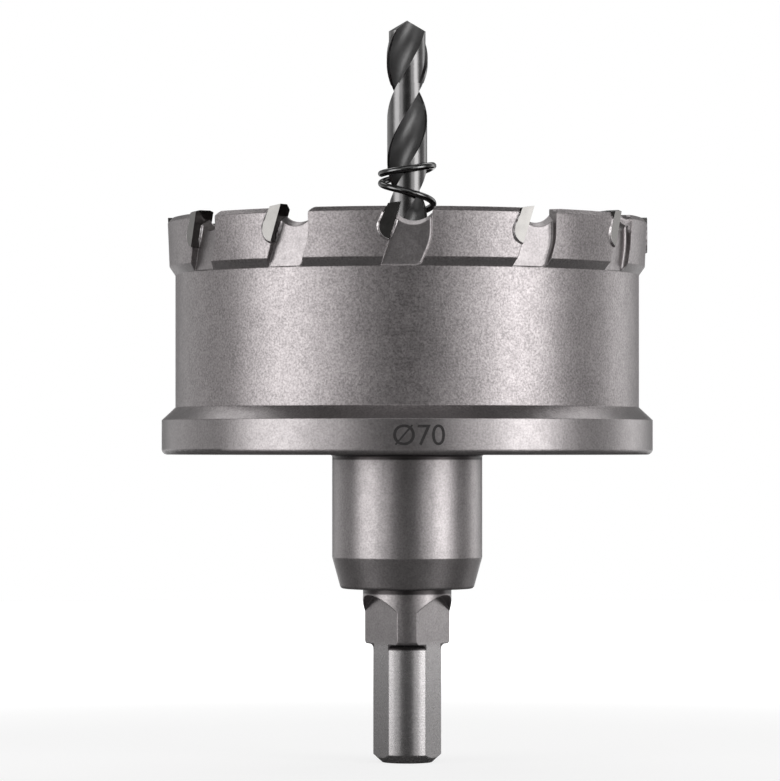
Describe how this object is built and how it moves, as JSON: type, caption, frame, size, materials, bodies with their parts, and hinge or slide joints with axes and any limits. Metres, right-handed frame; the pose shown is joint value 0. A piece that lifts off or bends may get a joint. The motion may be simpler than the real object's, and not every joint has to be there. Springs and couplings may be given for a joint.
{
  "type": "hole saw",
  "caption": "Hole saw for metal with a steel cup in one piece with its shank, brazed carbide tips, a pilot drill and an ejector spring.",
  "frame": {"origin": "centre of the shank's lower end", "axes": "+Z along the axis of rotation, from the shank to the pilot drill's point; -Y through the first tooth; the shank's first flat faces +Y"},
  "size_m": [0.0716, 0.0714, 0.1081],
  "materials": {
    "body_steel": "bead blasted",
    "carbide": "ground",
    "black_steel": "black oxide"
  },
  "bodies": {
    "root": {"saw_body": "body_steel", "tip_01": "carbide", "tip_02": "carbide", "tip_03": "carbide", "tip_04": "carbide", "tip_05": "carbide", "tip_06": "carbide", "tip_07": "carbide", "tip_08": "carbide", "tip_09": "carbide", "tip_10": "carbide", "tip_11": "carbide", "tip_12": "carbide", "pilot_drill": "black_steel", "ejector_spring": "black_steel", "grub_screw": "black_steel"}
  },
  "joints": []
}
